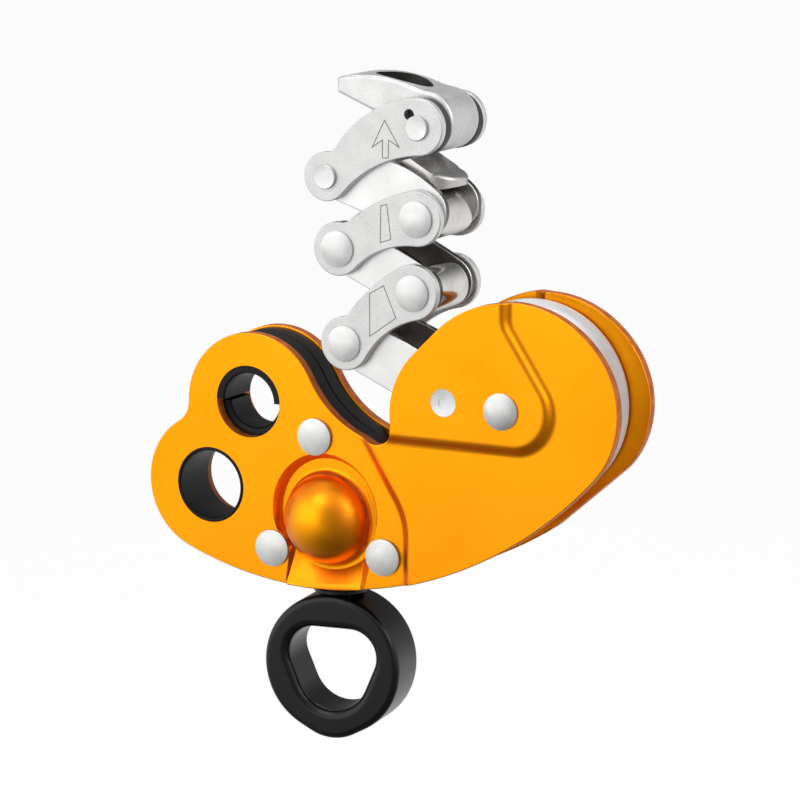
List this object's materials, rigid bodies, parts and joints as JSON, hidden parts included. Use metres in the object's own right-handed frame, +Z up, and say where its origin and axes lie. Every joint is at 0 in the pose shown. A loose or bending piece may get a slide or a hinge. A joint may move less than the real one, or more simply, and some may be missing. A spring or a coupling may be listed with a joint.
{
  "type": "rope friction chain adjuster",
  "caption": "Mechanical friction adjuster for a rope: two orange side plates with pulley, swivel eye, two lined attachment holes and a steel link chain with release lever.",
  "frame": {"origin": "centre of the lower attachment hole on the middle plane between the side plates", "axes": "+X towards the pulley, -Y to the front side plate, +Z up along the chain"},
  "size_m": [0.1311, 0.033, 0.1664],
  "materials": {
    "orange_anodised_aluminium": "satin anodised",
    "black_nylon": "satin moulded",
    "black_anodised_aluminium": "satin black anodised",
    "bead_blasted_steel": "bead blasted",
    "stainless_steel": "satin",
    "polished_steel": "polished by rope",
    "clear_anodised_aluminium": "satin clear anodised",
    "dark_washer": "satin"
  },
  "bodies": {
    "frame": {"front_side_plate": "orange_anodised_aluminium", "rear_side_plate": "orange_anodised_aluminium", "front_spacer": "black_nylon", "rear_spacer": "black_nylon", "lower_bush_front": "black_nylon", "lower_bush_rear": "black_nylon", "upper_bush_front": "black_nylon", "upper_bush_rear": "black_nylon", "upper_saddle_front": "black_nylon", "upper_saddle_rear": "black_nylon", "body_rivets": "stainless_steel", "sheave_axle": "stainless_steel", "sheave_spacers": "stainless_steel", "sheave_bearing_inner_ring": "stainless_steel", "swivel_housing": "stainless_steel", "swivel_bearing_outer_ring": "stainless_steel"},
    "pulley": {"sheave": "clear_anodised_aluminium", "sheave_bearing_outer_ring": "stainless_steel", "sheave_bearing_seals": "black_nylon"},
    "pulley_balls": {"sheave_bearing_balls": "stainless_steel", "sheave_bearing_cage": "stainless_steel"},
    "swivel": {"swivel_eye": "black_anodised_aluminium", "swivel_stem": "stainless_steel", "swivel_collar": "black_anodised_aluminium", "swivel_nut": "stainless_steel", "swivel_bearing_inner_ring": "stainless_steel"},
    "swivel_balls": {"swivel_bearing_balls": "stainless_steel", "swivel_bearing_cage": "stainless_steel"},
    "ring_one": {"ring_one_front_plate": "stainless_steel", "ring_one_rear_plate": "stainless_steel", "ring_one_barrel": "polished_steel", "ring_one_trunnions": "stainless_steel"},
    "link_c": {"link_c_front_plate": "bead_blasted_steel", "link_c_rear_plate": "bead_blasted_steel", "link_c_left_pin": "stainless_steel", "link_c_right_pin": "stainless_steel"},
    "ring_two": {"ring_two_front_plate": "stainless_steel", "ring_two_rear_plate": "stainless_steel", "ring_two_left_barrel": "polished_steel", "ring_two_right_barrel": "polished_steel"},
    "link_b": {"link_b_front_plate": "bead_blasted_steel", "link_b_rear_plate": "bead_blasted_steel", "link_b_left_pin": "stainless_steel", "link_b_right_pin": "stainless_steel"},
    "ring_three": {"ring_three_front_plate": "stainless_steel", "ring_three_rear_plate": "stainless_steel", "ring_three_left_barrel": "polished_steel", "ring_three_right_barrel": "polished_steel", "ring_three_rope_guide": "polished_steel"},
    "link_a": {"link_a_front_plate": "bead_blasted_steel", "link_a_rear_plate": "bead_blasted_steel", "link_a_left_pin": "stainless_steel", "link_a_right_pin": "stainless_steel"},
    "lever": {"lever": "bead_blasted_steel", "lever_washers": "dark_washer"}
  },
  "joints": [
    {"name": "chain_on_frame", "type": "hinge", "parent": "frame", "child": "ring_one", "pos_m": [0.0681, 0, 0.0277], "axis": [0, -1, 0], "range_deg": [-6, 14]},
    {"name": "link_c_on_ring_one", "type": "hinge", "parent": "ring_one", "child": "link_c", "pos_m": [0.0405, 0, 0.0397], "axis": [0, -1, 0], "range_deg": [-4, 50]},
    {"name": "ring_two_on_link_c", "type": "hinge", "parent": "link_c", "child": "ring_two", "pos_m": [0.05919, 0, 0.05344], "axis": [0, 1, 0], "range_deg": [-6, 50]},
    {"name": "link_b_on_ring_two", "type": "hinge", "parent": "ring_two", "child": "link_b", "pos_m": [0.03861, 0, 0.06277], "axis": [0, -1, 0], "range_deg": [-6, 50]},
    {"name": "ring_three_on_link_b", "type": "hinge", "parent": "link_b", "child": "ring_three", "pos_m": [0.06015, 0, 0.07139], "axis": [0, 1, 0], "range_deg": [-5, 50]},
    {"name": "link_a_on_ring_three", "type": "hinge", "parent": "ring_three", "child": "link_a", "pos_m": [0.03536, 0, 0.08017], "axis": [0, -1, 0], "range_deg": [-1.5, 50]},
    {"name": "lever_on_link_a", "type": "hinge", "parent": "link_a", "child": "lever", "pos_m": [0.06051, 0, 0.09337], "axis": [0, -1, 0], "range_deg": [-40, 25]},
    {"name": "pulley_spin", "type": "hinge", "parent": "frame", "child": "pulley", "pos_m": [0.0837, 0, 0.027], "axis": [0, -1, 0], "continuous": true},
    {"name": "pulley_balls_spin", "type": "hinge", "parent": "frame", "child": "pulley_balls", "pos_m": [0.0837, 0, 0.027], "axis": [0, -1, 0], "continuous": true},
    {"name": "swivel_spin", "type": "hinge", "parent": "frame", "child": "swivel", "pos_m": [0.0328, 0, 0], "axis": [0, 0, 1], "continuous": true},
    {"name": "swivel_balls_spin", "type": "hinge", "parent": "frame", "child": "swivel_balls", "pos_m": [0.0328, 0, 0], "axis": [0, 0, 1], "continuous": true}
  ],
  "couplings": [
    {"joint": "pulley_balls_spin", "follows": "pulley_spin", "ratio": 0.63},
    {"joint": "swivel_balls_spin", "follows": "swivel_spin", "ratio": 0.3833}
  ]
}
